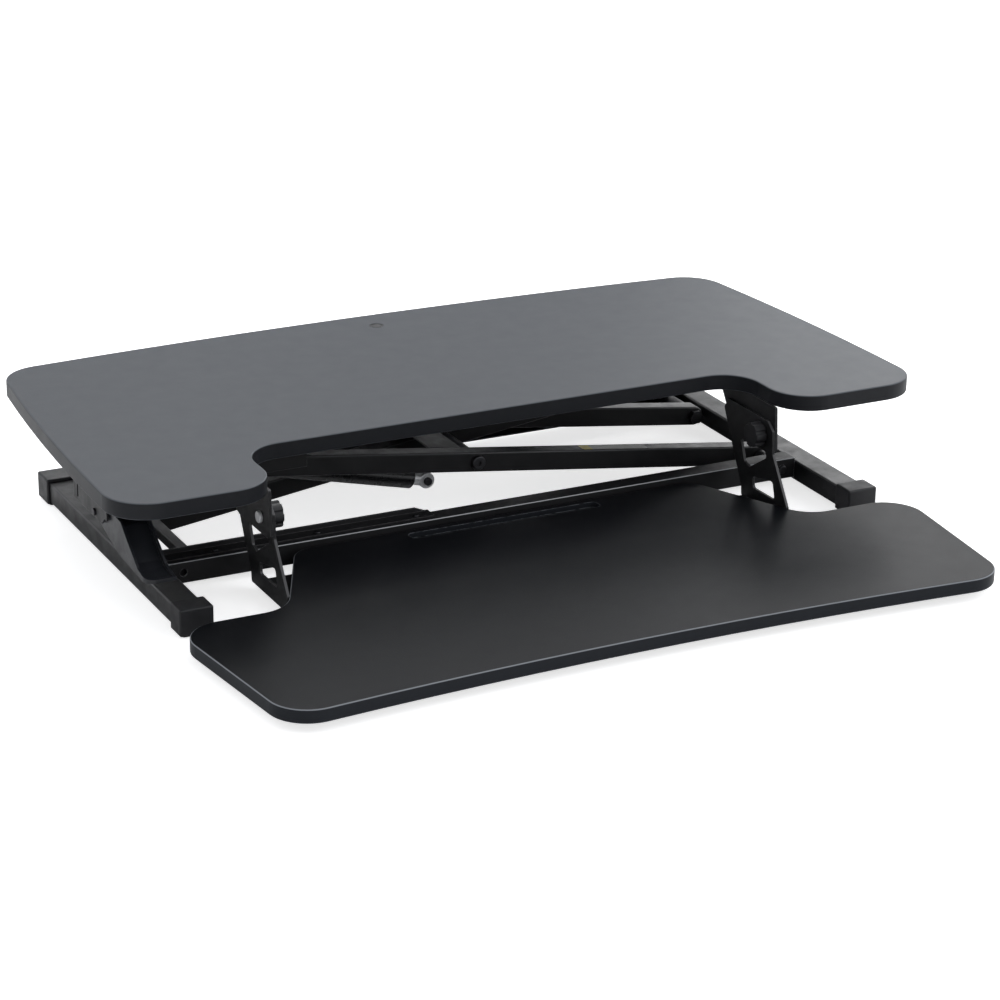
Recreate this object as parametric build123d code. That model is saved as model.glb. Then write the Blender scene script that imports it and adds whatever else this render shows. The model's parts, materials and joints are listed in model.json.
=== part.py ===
from build123d import *
import math
import os

# Standing desk converter: a desk-top riser on a scissor frame, with a hung keyboard tray.
# Frame: millimetres, +X to the user's right, +Y to the back, +Z up.
# The origin is on the surface the converter stands on, under the centre of the whole object.
# It is modelled in its lowest position.

# ---- main board ----
BOARD_TOP = 148.0
BOARD_THICK = 18.0
UNDER = BOARD_TOP - BOARD_THICK
BOARD_HALF_FRONT = 475.0
BOARD_HALF_BACK = 448.7
BOARD_FRONT = -101.6
BOARD_BACK = 347.7
BACK_BULGE = 18.85
SIDE_BULGE = 7.5
RECESS_EDGE = 9.5
RECESS_HALF = 301.5
BOARD_CORNER = 48.0
RECESS_INNER_R = 42.0
RECESS_OUTER_R = 47.0
BOARD_EDGE_ROUND = 1.6
PLUG_Y = 325.0
PLUG_R = 8.6
PLUG_RIM = 1.8

# ---- keyboard tray ----
TRAY_TOP = 25.5
TRAY_THICK = 15.0
TRAY_UNDER = TRAY_TOP - TRAY_THICK
TRAY_HALF_FRONT = 408.4
TRAY_HALF_REAR = 434.2
TRAY_FRONT = -370.0
TRAY_FRONT_DIP = 18.4
TRAY_WING_REAR = -133.3
TRAY_REAR = 6.7
TRAY_NECK_HALF = 242.5
TRAY_NECK_FOOT = 309.3
TRAY_CORNER = 42.0
TRAY_NECK_R = 30.0
TRAY_FOOT_R = 43.0
GROOVE_HALF = 115.0
GROOVE_FRONT = -18.0
GROOVE_REAR = -2.0
GROOVE_DEPTH = 6.0

# ---- base ----
RAIL_INNER = 382.5
RAIL_OUTER = 413.5
RAIL_BOTTOM = 4.0
RAIL_TOP = 27.5
RAIL_FRONT = -104.0
RAIL_BACK = 325.0
RAIL_WALL = 1.5
CAP_FRONT = -108.0
CAP_FRONT_LEN = 28.0
CAP_BACK = 329.0
CAP_BACK_LEN = 33.0
CAP_OVER = 3.0
CAP_TOP = 31.5
PAD_THICK = 2.0
CHANNEL_LOW = 7.5
CHANNEL_H = 24.0
CHANNEL_D = 23.0
CHANNEL_WALL = 2.0
BASE_CHANNEL_Y = 10.5
UPPER_CHANNEL_Y = 34.0
REAR_BASE_CHANNEL_Y = 270.0
TRACK_LEFT = -385.0
TRACK_RIGHT = -215.0

# ---- scissor ----
HALF_SPAN = 366.0
MID_Y = 144.0
LOW_Z = CHANNEL_LOW + CHANNEL_H / 2
HIGH_Z = UNDER - CHANNEL_H / 2
MID_Z = (LOW_Z + HIGH_Z) / 2
ARM_HALF = math.hypot(HALF_SPAN, HIGH_Z - MID_Z)
ARM_ANGLE = math.degrees(math.atan2(HIGH_Z - MID_Z, HALF_SPAN))
OUTER_ARM_H = 23.0
OUTER_ARM_W = 20.0
OUTER_FRONT_Y = 59.0
OUTER_REAR_Y = 2 * MID_Y - OUTER_FRONT_Y - OUTER_ARM_W
ARM_WALL = 1.5
TUBE_ROUND = 2.0
BEAM_H = 22.0
BEAM_FRONT = 141.0
BEAM_REAR = 165.0
BEAM_SHORT = 17.0
CROSS_BAR = 12.0
CROSS_BAR_X = -351.0
CROSS_BAR_Z = 25.5
CROSS_BAR_FRONT = 48.5
CROSS_BAR_REAR = 261.5
END_PLATE = 3.5
END_PLATE_R = 8.5
UPPER_TUBE_R = 11.0
UPPER_TUBE_FRONT = 62.0
UPPER_TUBE_REAR = 226.0
PIVOT_BLOCK_HALF = 8.5
PIVOT_FOOT_HALF = 18.0
AXLE_R = 5.0
RUN_CLEAR = 0.05
ARM_GAP = 0.5
NUT_H = 6.5
NUT_ACROSS = 15.0
PIN_PROUD = 2.5
PIN_DOME = 1.5
ROLLER_R = 9.6
ROLLER_W = 16.0

# ---- gas spring ----
EYE = (-41.5, 109.0, 39.0)
ROD_PIN_DIST = 312.0
ROD_ANGLE = math.degrees(math.atan2(HIGH_Z - EYE[2], HALF_SPAN + EYE[0]))
CYL_R = 12.5
CYL_LEN = 225.0
ROD_R = 5.0

# ---- tray brackets ----
HANGER_X = 300.5
ARM_PLATE_X = 297.0
PLATE = 3.0
KNOB_Y = -50.0
KNOB_Z = 94.0
KNOB_R = 14.0
CLAMP_R = 3.0

# ---- release lever ----
LEVER_LEFT = -452.0
LEVER_RIGHT = -420.0
LEVER_PIVOT_Y = 27.0
LEVER_PIVOT_Z = 97.0
LEVER_FRONT = -112.0
LEVER_WALL = 2.5
LEVER_CORNER_R = 12.0

# ---- screws ----
SCREW_R = 2.0
SCREW_HEAD_R = 4.2
SCREW_HEAD_H = 2.2
FLUSH_HEAD_R = 3.6


def block(x0, x1, y0, y1, z0, z1):
    """An upright box between two corners."""
    return Pos((x0 + x1) / 2, (y0 + y1) / 2, (z0 + z1) / 2) * Box(x1 - x0, y1 - y0, z1 - z0)


def rod_y(x, z, y0, y1, r):
    """A round bar along Y."""
    return Pos(x, (y0 + y1) / 2, z) * Rot(90, 0, 0) * Cylinder(r, y1 - y0)


def rod_x(y, z, x0, x1, r):
    """A round bar along X."""
    return Pos((x0 + x1) / 2, y, z) * Rot(0, 90, 0) * Cylinder(r, x1 - x0)


def rod_z(x, y, z0, z1, r):
    """A round bar along Z."""
    return Pos(x, y, (z0 + z1) / 2) * Cylinder(r, z1 - z0)


def plate_yz(points, x0, x1):
    """A flat plate that lies in the Y-Z plane, from x0 to x1."""
    face = make_face(Polyline(*points, close=True).edges())
    turned = Plane(origin=(x0, 0, 0), x_dir=(0, 1, 0), z_dir=(1, 0, 0)) * face
    return extrude(turned, amount=x1 - x0, dir=(1, 0, 0))


def rounded_yz(points, x0, x1, radius):
    """The same plate with its corners rounded."""
    plate = plate_yz(points, x0, x1)
    return fillet(plate.edges().filter_by(Axis.X), radius)


def mirrored(shape):
    """The same piece on the other side of the centre plane."""
    return mirror(shape, about=Plane.YZ)


def hex_head_y(x, z, y0, y1, across):
    """A hexagon bolt head or nut with its axis along Y."""
    hexagon = RegularPolygon(across / 2, 6, major_radius=False)
    face = Plane(origin=(x, y0, z), x_dir=(1, 0, 0), z_dir=(0, 1, 0)) * hexagon
    return extrude(face, amount=y1 - y0, dir=(0, 1, 0))


def in_outer_arm(shape):
    """Puts a shape drawn along X at the origin into the outer arms' sloping frame."""
    return Pos(0, 0, MID_Z) * Rot(0, ARM_ANGLE, 0) * shape


def in_inner_arm(shape):
    """Puts a shape drawn along X at the origin into the inner beam's sloping frame."""
    return Pos(0, 0, MID_Z) * Rot(0, -ARM_ANGLE, 0) * shape


def in_gas_spring(shape):
    """Puts a shape drawn along X from the origin onto the gas spring's line."""
    return Pos(*EYE) * Rot(0, 180 + ROD_ANGLE, 0) * shape


def corner_fillet(face, x, y, radius):
    """Rounds the outline at one corner and its mirror image."""
    near = [v for v in face.vertices() if abs(abs(v.X) - x) < 1 and abs(v.Y - y) < 1]
    return fillet(near, radius)


# ---------------------------------------------------------------- boards
def board_outline():
    side_x = (BOARD_HALF_FRONT + BOARD_HALF_BACK) / 2 + SIDE_BULGE
    side_y = (BOARD_FRONT + BOARD_BACK) / 2
    right = [
        Line((0, RECESS_EDGE), (RECESS_HALF, RECESS_EDGE)),
        Line((RECESS_HALF, RECESS_EDGE), (RECESS_HALF, BOARD_FRONT)),
        Line((RECESS_HALF, BOARD_FRONT), (BOARD_HALF_FRONT, BOARD_FRONT)),
        ThreePointArc((BOARD_HALF_FRONT, BOARD_FRONT), (side_x, side_y), (BOARD_HALF_BACK, BOARD_BACK)),
    ]
    left = [mirror(edge, about=Plane.YZ) for edge in right]
    middle = (0, BOARD_BACK + BACK_BULGE)
    back = ThreePointArc((BOARD_HALF_BACK, BOARD_BACK), middle, (-BOARD_HALF_BACK, BOARD_BACK))
    edges = [e for piece in right + left + [back] for e in piece.edges()]
    face = make_face(edges)
    face = corner_fillet(face, RECESS_HALF, RECESS_EDGE, RECESS_INNER_R)
    face = corner_fillet(face, RECESS_HALF, BOARD_FRONT, RECESS_OUTER_R)
    face = corner_fillet(face, BOARD_HALF_FRONT, BOARD_FRONT, BOARD_CORNER)
    return corner_fillet(face, BOARD_HALF_BACK, BOARD_BACK, BOARD_CORNER)


def tray_outline():
    right = [
        Line((0, TRAY_REAR), (TRAY_NECK_HALF, TRAY_REAR)),
        Line((TRAY_NECK_HALF, TRAY_REAR), (TRAY_NECK_FOOT, TRAY_WING_REAR)),
        Line((TRAY_NECK_FOOT, TRAY_WING_REAR), (TRAY_HALF_REAR, TRAY_WING_REAR)),
        Line((TRAY_HALF_REAR, TRAY_WING_REAR), (TRAY_HALF_FRONT, TRAY_FRONT)),
    ]
    left = [mirror(edge, about=Plane.YZ) for edge in right]
    middle = (0, TRAY_FRONT + TRAY_FRONT_DIP)
    front = ThreePointArc((TRAY_HALF_FRONT, TRAY_FRONT), middle, (-TRAY_HALF_FRONT, TRAY_FRONT))
    edges = [e for piece in right + left + [front] for e in piece.edges()]
    face = make_face(edges)
    face = corner_fillet(face, TRAY_NECK_HALF, TRAY_REAR, TRAY_NECK_R)
    face = corner_fillet(face, TRAY_NECK_FOOT, TRAY_WING_REAR, TRAY_FOOT_R)
    face = corner_fillet(face, TRAY_HALF_REAR, TRAY_WING_REAR, TRAY_CORNER)
    return corner_fillet(face, TRAY_HALF_FRONT, TRAY_FRONT, TRAY_CORNER)


def slab(outline, bottom, thick, edge_round):
    """A board of the given outline with softly rounded edges."""
    solid = Pos(0, 0, bottom) * extrude(outline, amount=thick, dir=(0, 0, 1))
    rims = solid.faces().sort_by(Axis.Z)
    return fillet(rims[0].edges() + rims[-1].edges(), edge_round)


def desktop_board():
    board = slab(board_outline(), UNDER, BOARD_THICK, BOARD_EDGE_ROUND)
    board -= rod_z(0, PLUG_Y, UNDER - 1, BOARD_TOP + 1, PLUG_R - 1.5)
    return board - rod_z(0, PLUG_Y, BOARD_TOP - PLUG_RIM, BOARD_TOP + 1, PLUG_R)


def cable_hole_plug():
    stem = rod_z(0, PLUG_Y, UNDER, BOARD_TOP - 1, PLUG_R - 1.6)
    cap = rod_z(0, PLUG_Y, BOARD_TOP - PLUG_RIM, BOARD_TOP - 0.1, PLUG_R - 0.1)
    cap = fillet(cap.edges().sort_by(Axis.Z)[-1], 0.8)
    groove = rod_z(0, PLUG_Y, BOARD_TOP - 0.7, BOARD_TOP, PLUG_R - 2.0)
    groove -= rod_z(0, PLUG_Y, BOARD_TOP - 0.8, BOARD_TOP + 1, PLUG_R - 3.0)
    return stem + cap - groove - rod_z(0, PLUG_Y, UNDER - 1, BOARD_TOP - 3, PLUG_R - 3.2)


def keyboard_tray():
    tray = slab(tray_outline(), TRAY_UNDER, TRAY_THICK, BOARD_EDGE_ROUND)
    groove = block(-GROOVE_HALF, GROOVE_HALF, GROOVE_FRONT, GROOVE_REAR, TRAY_TOP - GROOVE_DEPTH, TRAY_TOP + 1)
    groove = fillet(groove.edges().filter_by(Axis.Z), 6)
    return tray - groove


# ---------------------------------------------------------------- base
def side_rail():
    rail = block(RAIL_INNER, RAIL_OUTER, RAIL_FRONT, RAIL_BACK, RAIL_BOTTOM, RAIL_TOP)
    rail = fillet(rail.edges().filter_by(Axis.Y), 2.5)
    hollow = block(RAIL_INNER + RAIL_WALL, RAIL_OUTER - RAIL_WALL, RAIL_FRONT - 1, RAIL_BACK + 1,
                   RAIL_BOTTOM + RAIL_WALL, RAIL_TOP - RAIL_WALL)
    return rail - hollow


def end_cap(y0, y1, rail_y0, rail_y1):
    """A plastic cap that wraps a rail's end and stands proud of it all round."""
    cap = block(RAIL_INNER - CAP_OVER, RAIL_OUTER + CAP_OVER, y0, y1, PAD_THICK, CAP_TOP)
    cap = fillet(cap.edges(), 2.2)
    return cap - block(RAIL_INNER, RAIL_OUTER, rail_y0, rail_y1, RAIL_BOTTOM, RAIL_TOP)


def front_cap():
    return end_cap(CAP_FRONT, CAP_FRONT + CAP_FRONT_LEN, RAIL_FRONT, RAIL_BACK)


def rear_cap():
    return end_cap(CAP_BACK - CAP_BACK_LEN, CAP_BACK, RAIL_FRONT, RAIL_BACK)


def foot_pad(y0, y1):
    pad = block(RAIL_INNER + 1, RAIL_OUTER - 1, y0, y1, 0, PAD_THICK)
    return fillet(pad.edges().filter_by(Axis.Z), 3)


def foot_pads():
    front = foot_pad(CAP_FRONT + 4, CAP_FRONT + CAP_FRONT_LEN - 3)
    rear = foot_pad(CAP_BACK - CAP_BACK_LEN + 3, CAP_BACK - 4)
    return [front, rear, mirrored(front), mirrored(rear)]


def c_channel(x0, x1, y0, z0, opens_back):
    """A folded steel channel along X that opens to the back or to the front."""
    bar = block(x0, x1, y0, y0 + CHANNEL_D, z0, z0 + CHANNEL_H)
    bar = fillet(bar.edges().filter_by(Axis.X), 1.2)
    w = CHANNEL_WALL
    if opens_back:
        inside = block(x0 - 1, x1 + 1, y0 + w, y0 + CHANNEL_D + 1, z0 + w, z0 + CHANNEL_H - w)
    else:
        inside = block(x0 - 1, x1 + 1, y0 - 1, y0 + CHANNEL_D - w, z0 + w, z0 + CHANNEL_H - w)
    return bar - inside


def base_channel(y0, opens_back):
    bar = c_channel(-RAIL_INNER, RAIL_INNER, y0, CHANNEL_LOW, opens_back)
    bar -= rod_y(HALF_SPAN, LOW_Z, y0 - 1, y0 + CHANNEL_D + 1, AXLE_R)
    if opens_back:
        bar -= rod_y(-HALF_SPAN, LOW_Z, y0 - 1, y0 + CHANNEL_WALL + 1, 4.2)
    return bar


REAR_UPPER_CHANNEL_Y = 2 * MID_Y - UPPER_CHANNEL_Y - CHANNEL_D


def base_pivot_pins():
    """The two pins that the outer arms turn on, each with a low domed end outside its channel."""
    front = rod_y(HALF_SPAN, LOW_Z, BASE_CHANNEL_Y - PIN_PROUD, OUTER_FRONT_Y + OUTER_ARM_W + NUT_H, AXLE_R)
    rear_end = REAR_BASE_CHANNEL_Y + CHANNEL_D + PIN_PROUD
    rear = rod_y(HALF_SPAN, LOW_Z, OUTER_REAR_Y - NUT_H, rear_end, AXLE_R)
    front = fillet(front.edges().sort_by(Axis.Y)[0], PIN_DOME)
    rear = fillet(rear.edges().sort_by(Axis.Y)[-1], PIN_DOME)
    return [front, rear]


def base_pivot_nuts():
    """The nuts that keep the outer arms on their pins."""
    front = OUTER_FRONT_Y + OUTER_ARM_W + ARM_GAP
    rear = OUTER_REAR_Y - ARM_GAP
    nuts = []
    for y0, y1 in ((front, front + NUT_H - 1), (rear - NUT_H + 1, rear)):
        nut = hex_head_y(HALF_SPAN, LOW_Z, y0, y1, NUT_ACROSS)
        nuts.append(nut - rod_y(HALF_SPAN, LOW_Z, y0 - 1, y1 + 1, AXLE_R))
    return nuts


def sleeve(x, z, y0, y1, outer, bore):
    return rod_y(x, z, y0, y1, outer) - rod_y(x, z, y0 - 1, y1 + 1, bore)


def base_pivot_sleeves():
    """Spacers between the base channels and the outer arms."""
    front = (BASE_CHANNEL_Y + CHANNEL_WALL, OUTER_FRONT_Y - ARM_GAP)
    rear = (OUTER_REAR_Y + OUTER_ARM_W + ARM_GAP, REAR_BASE_CHANNEL_Y + CHANNEL_D - CHANNEL_WALL)
    return [sleeve(HALF_SPAN, LOW_Z, a, b, 8.0, AXLE_R) for a, b in (front, rear)]


# The lock rack stands behind the front base channel; its notches face down.
RACK_LEFT = -381.0
RACK_RIGHT = -72.0
RACK_TOP = 38.0
RACK_LOW = 26.0
RACK_Y = 34.0
RACK_THICK = 2.5
NOTCH_PITCH = 21.95
NOTCH_FIRST = -342.0
NOTCH_W = 9.0
NOTCH_COUNT = 7
RACK_SCREW_X = (-325, -208, -92)
RACK_SCREW_Y = 24.0


def lock_rack():
    y0 = RACK_Y
    y1 = RACK_Y + RACK_THICK
    face = Polyline((RACK_LEFT, RACK_LOW), (RACK_RIGHT, RACK_LOW), (RACK_RIGHT, CHANNEL_LOW + CHANNEL_H),
                    (RACK_RIGHT - 16, RACK_TOP), (RACK_LEFT, RACK_TOP), close=True)
    turned = Plane(origin=(0, y1, 0), x_dir=(1, 0, 0), z_dir=(0, -1, 0)) * make_face(face.edges())
    plate = extrude(turned, amount=RACK_THICK, dir=(0, -1, 0))
    top = CHANNEL_LOW + CHANNEL_H
    plate += block(RACK_LEFT, RACK_RIGHT, 18, y1, top, top + 1.5)
    for i in range(NOTCH_COUNT):
        x = NOTCH_FIRST + i * NOTCH_PITCH
        plate -= block(x, x + NOTCH_W, y0 - 1, y1 + 1, RACK_LOW - 1, RACK_LOW + 4.5)
    return plate


def rack_screws():
    top = CHANNEL_LOW + CHANNEL_H + 1.5
    screws = []
    for x in RACK_SCREW_X:
        head = rod_z(x, RACK_SCREW_Y, top, top + 1.6, 3.4)
        screws.append(fillet(head.edges().sort_by(Axis.Z)[-1], 0.9))
    return screws


# ---------------------------------------------------------------- outer arms
def outer_arm(y0):
    """A rectangular tube with rounded ends, open inside, drilled for its three pivots."""
    y1 = y0 + OUTER_ARM_W
    body = block(-ARM_HALF, ARM_HALF, y0, y1, -OUTER_ARM_H / 2, OUTER_ARM_H / 2)
    body = fillet(body.edges().filter_by(Axis.X), TUBE_ROUND)
    for x in (-ARM_HALF, ARM_HALF):
        end = rod_y(x, 0, y0, y1, OUTER_ARM_H / 2)
        body += fillet(end.edges(), TUBE_ROUND)
    long_half = ARM_HALF + OUTER_ARM_H
    body -= block(-long_half, long_half, y0 + ARM_WALL, y1 - ARM_WALL,
                  -OUTER_ARM_H / 2 + ARM_WALL, OUTER_ARM_H / 2 - ARM_WALL)
    body -= rod_y(0, 0, y0 - 1, y1 + 1, AXLE_R)
    body -= rod_y(-ARM_HALF, 0, y0 - 1, y1 + 1, AXLE_R)
    body -= rod_y(ARM_HALF, 0, y0 - 1, y1 + 1, AXLE_R + RUN_CLEAR)
    return in_outer_arm(body)


def centre_bolt():
    """The bolt through the crossing of the arms, with a low round head at the front."""
    y0 = OUTER_FRONT_Y
    y1 = OUTER_REAR_Y + OUTER_ARM_W
    head = fillet(rod_y(0, MID_Z, y0 - 4.5, y0, 8.2).edges().sort_by(Axis.Y)[0], 1.8)
    bolt = rod_y(0, MID_Z, y0, y1 + 7, AXLE_R) + head
    return bolt - hex_head_y(0, MID_Z, y0 - 5, y0 - 2, 5)


def centre_nut():
    y1 = OUTER_REAR_Y + OUTER_ARM_W
    return hex_head_y(0, MID_Z, y1, y1 + 6, NUT_ACROSS) - rod_y(0, MID_Z, y1 - 1, y1 + 7, AXLE_R)


def centre_sleeves():
    gap = 0.4
    front = sleeve(0, MID_Z, OUTER_FRONT_Y + OUTER_ARM_W, BEAM_FRONT - gap, 8.0, AXLE_R)
    rear = sleeve(0, MID_Z, BEAM_REAR + gap, OUTER_REAR_Y, 8.0, AXLE_R)
    return [front, rear]


def outer_arm_tie():
    """The flat plate that ties the two outer arms together just left of the crossing."""
    y0 = OUTER_FRONT_Y + OUTER_ARM_W
    top = OUTER_ARM_H / 2
    return in_outer_arm(block(-52, -14, y0, OUTER_REAR_Y, top - 2, top))


def upper_slide_tube():
    """The cross tube between the outer arms' upper ends."""
    y0 = OUTER_FRONT_Y + OUTER_ARM_W
    tube = rod_y(-ARM_HALF, 0, y0, OUTER_REAR_Y, UPPER_TUBE_R)
    tube -= rod_y(-ARM_HALF, 0, y0 + 2, OUTER_REAR_Y - 2, UPPER_TUBE_R - 2)
    return in_outer_arm(tube - rod_y(-ARM_HALF, 0, y0 - 1, OUTER_REAR_Y + 1, AXLE_R))


def upper_slide_axle():
    y0 = UPPER_CHANNEL_Y + CHANNEL_WALL + 1
    y1 = REAR_UPPER_CHANNEL_Y + CHANNEL_D - CHANNEL_WALL - 1
    return rod_y(-HALF_SPAN, HIGH_Z, y0, y1, AXLE_R)


ROD_PIN_X = EYE[0] - ROD_PIN_DIST * math.cos(math.radians(ROD_ANGLE))
ROD_PIN_Z = EYE[2] + ROD_PIN_DIST * math.sin(math.radians(ROD_ANGLE))
SLOT_DX = -2.6
SLOT_DZ = -5.7
SLOT_R = 5.0
SLOT_STEPS = 6


def rod_ears():
    """Two slotted ears on the upper cross tube; the gas spring's rod bolt rides in the slots."""
    ears = []
    for y in (EYE[1] - 12.5, EYE[1] + 9.5):
        ear = block(-HALF_SPAN, ROD_PIN_X + 8, y, y + 3, ROD_PIN_Z - 14, HIGH_Z + 5)
        ear = fillet(ear.edges().filter_by(Axis.Y), 4)
        ear -= rod_y(-HALF_SPAN, HIGH_Z, y - 1, y + 4, UPPER_TUBE_R)
        for i in range(SLOT_STEPS + 1):
            share = i / SLOT_STEPS
            ear -= rod_y(ROD_PIN_X + SLOT_DX * share, ROD_PIN_Z + SLOT_DZ * share, y - 1, y + 4, SLOT_R)
        ears.append(ear)
    return ears


# ---------------------------------------------------------------- inner beam
def end_plate(y0):
    """A small plate that carries a stub axle beside the end of the cross bar."""
    y1 = y0 + END_PLATE
    half = CROSS_BAR / 2
    plate = rod_y(-HALF_SPAN, LOW_Z, y0, y1, END_PLATE_R)
    plate += block(-HALF_SPAN, CROSS_BAR_X + half, y0, y1, LOW_Z - 2, CROSS_BAR_Z + half)
    return plate - rod_y(-HALF_SPAN, LOW_Z, y0 - 1, y1 + 1, AXLE_R)


def lower_cross_bar():
    """The narrow square bar across the beam's lower end, with an end plate at each end."""
    half = CROSS_BAR / 2
    bar = block(CROSS_BAR_X - half, CROSS_BAR_X + half, CROSS_BAR_FRONT, CROSS_BAR_REAR,
                CROSS_BAR_Z - half, CROSS_BAR_Z + half)
    bar = fillet(bar.edges().filter_by(Axis.Y), 1.5)
    return bar + end_plate(CROSS_BAR_FRONT - END_PLATE) + end_plate(CROSS_BAR_REAR)


def lower_stub_axles():
    """The two short axles that the lower rollers turn on."""
    front = rod_y(-HALF_SPAN, LOW_Z, BASE_CHANNEL_Y + 7.5, CROSS_BAR_FRONT, AXLE_R)
    rear_end = REAR_BASE_CHANNEL_Y + CHANNEL_D - CHANNEL_WALL - 1
    rear = rod_y(-HALF_SPAN, LOW_Z, CROSS_BAR_REAR, rear_end, AXLE_R)
    return [front, rear]


def upper_pivot_tube():
    """The round cross tube at the beam's upper end; it turns on the board's pivot bar."""
    bore = AXLE_R + RUN_CLEAR
    return in_inner_arm(sleeve(ARM_HALF, 0, UPPER_TUBE_FRONT, UPPER_TUBE_REAR, UPPER_TUBE_R, bore))


def inner_beam():
    """The single rectangular tube between the outer arms."""
    beam = block(-ARM_HALF + BEAM_SHORT, ARM_HALF, BEAM_FRONT, BEAM_REAR, -BEAM_H / 2, BEAM_H / 2)
    beam = fillet(beam.edges().filter_by(Axis.X), TUBE_ROUND)
    beam -= block(-ARM_HALF, ARM_HALF + 1, BEAM_FRONT + ARM_WALL, BEAM_REAR - ARM_WALL,
                  -BEAM_H / 2 + ARM_WALL, BEAM_H / 2 - ARM_WALL)
    beam -= rod_y(ARM_HALF, 0, BEAM_FRONT - 1, BEAM_REAR + 1, UPPER_TUBE_R)
    beam -= rod_y(0, 0, BEAM_FRONT - 1, BEAM_REAR + 1, AXLE_R + RUN_CLEAR)
    return in_inner_arm(beam) - lower_cross_bar()


LUG_Y = 122.5
LUG_THICK = 3.0
LUG_BOLT_R = 4.0


def gas_spring_lug():
    """The welded lug under the beam that carries the gas spring's lower eye."""
    x, y, z = EYE
    profile = [(x - 9, z - 6), (x - 4, z - 9), (x + 4, z - 9), (x + 9, z - 6), (x + 17, 60), (x - 14, 54)]
    face = make_face(Polyline(*profile, close=True).edges())
    turned = Plane(origin=(0, LUG_Y, 0), x_dir=(1, 0, 0), z_dir=(0, -1, 0)) * face
    plate = extrude(turned, amount=LUG_THICK, dir=(0, 1, 0))
    plate += block(x - 12, x + 15, LUG_Y, BEAM_FRONT, 55, 58)
    return plate - rod_y(x, z, LUG_Y - 1, LUG_Y + LUG_THICK + 1, LUG_BOLT_R)


def gas_spring_stud():
    """The bolt through the lower eye, with its round head to the front."""
    x, y, z = EYE
    lug_back = LUG_Y + LUG_THICK
    head = fillet(rod_y(x, z, y - 13, y - 9, 4.6).edges().sort_by(Axis.Y)[0], 1.2)
    return rod_y(x, z, y - 9, lug_back + 2, LUG_BOLT_R) + head + hex_head_y(x, z, lug_back, lug_back + 6, 12)


# ---------------------------------------------------------------- gas spring
def gas_cylinder():
    tube = Pos(17 + CYL_LEN / 2, 0, 0) * Rot(0, 90, 0) * Cylinder(CYL_R, CYL_LEN)
    tube = fillet(tube.edges(), 2.0)
    bore = Pos(30 + CYL_LEN / 2, 0, 0) * Rot(0, 90, 0) * Cylinder(10.5, CYL_LEN)
    return in_gas_spring(tube - bore)


def gas_cylinder_seal():
    end = 17 + CYL_LEN
    seal = Pos(end - 8, 0, 0) * Rot(0, 90, 0) * (Cylinder(10.5, 14) - Cylinder(ROD_R + RUN_CLEAR, 16))
    return in_gas_spring(seal)


def gas_lower_eye():
    """The bright end fitting: a short neck and a round eye for the bolt."""
    neck = Pos(8.5, 0, 0) * Rot(0, 90, 0) * Cylinder(8.2, 17)
    eye = Rot(90, 0, 0) * Cylinder(9.2, 17)
    bore = Rot(90, 0, 0) * Cylinder(4 + RUN_CLEAR, 30)
    return in_gas_spring(neck + fillet(eye.edges(), 1.2) - bore)


def gas_rod():
    start = 120
    end = ROD_PIN_DIST - 8
    return in_gas_spring(Pos((start + end) / 2, 0, 0) * Rot(0, 90, 0) * Cylinder(ROD_R, end - start))


def gas_rod_eye():
    centre = Pos(ROD_PIN_DIST, 0, 0)
    eye = centre * Rot(90, 0, 0) * Cylinder(8, 16)
    neck = Pos(ROD_PIN_DIST - 12, 0, 0) * Rot(0, 90, 0) * Cylinder(7, 12)
    eye = eye + neck - centre * Rot(90, 0, 0) * Cylinder(4, 30)
    return in_gas_spring(eye - Pos(ROD_PIN_DIST - 22, 0, 0) * Rot(0, 90, 0) * Cylinder(ROD_R, 28))


def gas_rod_bolt():
    y = EYE[1]
    bolt = rod_y(ROD_PIN_X, ROD_PIN_Z, y - 15, y + 15, 4)
    for a, b in ((y - 19, y - 15), (y + 15, y + 19)):
        bolt += hex_head_y(ROD_PIN_X, ROD_PIN_Z, a, b, 12)
    return bolt


# ---------------------------------------------------------------- rollers
def roller(x, z, y0):
    wheel = rod_y(x, z, y0, y0 + ROLLER_W, ROLLER_R)
    wheel = fillet(wheel.edges(), 1.2)
    return wheel - rod_y(x, z, y0 - 1, y0 + ROLLER_W + 1, AXLE_R + RUN_CLEAR)


# ---------------------------------------------------------------- lock carriage and latch
LATCH_PIVOT = (-351.0, 15.0)


def lock_carriage():
    """A nylon block on the front stub axle that stays level and carries the latch."""
    body = block(-376, -344, 38, CROSS_BAR_FRONT - END_PLATE - 0.5, LOW_Z - 9, LOW_Z + 6.5)
    body = fillet(body.edges().filter_by(Axis.Y), 3)
    body -= rod_y(-HALF_SPAN, LOW_Z, 30, 60, AXLE_R + RUN_CLEAR)
    px, pz = LATCH_PIVOT
    return body + rod_y(px, pz, 33.9, 38, 2.5)


def lock_latch():
    """A small pawl whose tooth rides just under the rack."""
    px, pz = LATCH_PIVOT
    tip = RACK_LOW - 0.4
    points = [(px - 5, pz - 4), (px + 8, pz - 3), (px + 18, tip), (px + 11, tip),
              (px + 4, pz + 5), (px - 5, pz + 4)]
    face = make_face(Polyline(*points, close=True).edges())
    turned = Plane(origin=(0, 37.3, 0), x_dir=(1, 0, 0), z_dir=(0, -1, 0)) * face
    pawl = extrude(turned, amount=3, dir=(0, -1, 0))
    return pawl - rod_y(px, pz, 30, 40, 2.5 + RUN_CLEAR)


# ---------------------------------------------------------------- under the board
def upper_track(y0, opens_back):
    """The short channel under the board's left end that an upper roller runs in."""
    return c_channel(TRACK_LEFT, TRACK_RIGHT, y0, UNDER - CHANNEL_H, opens_back)


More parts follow.
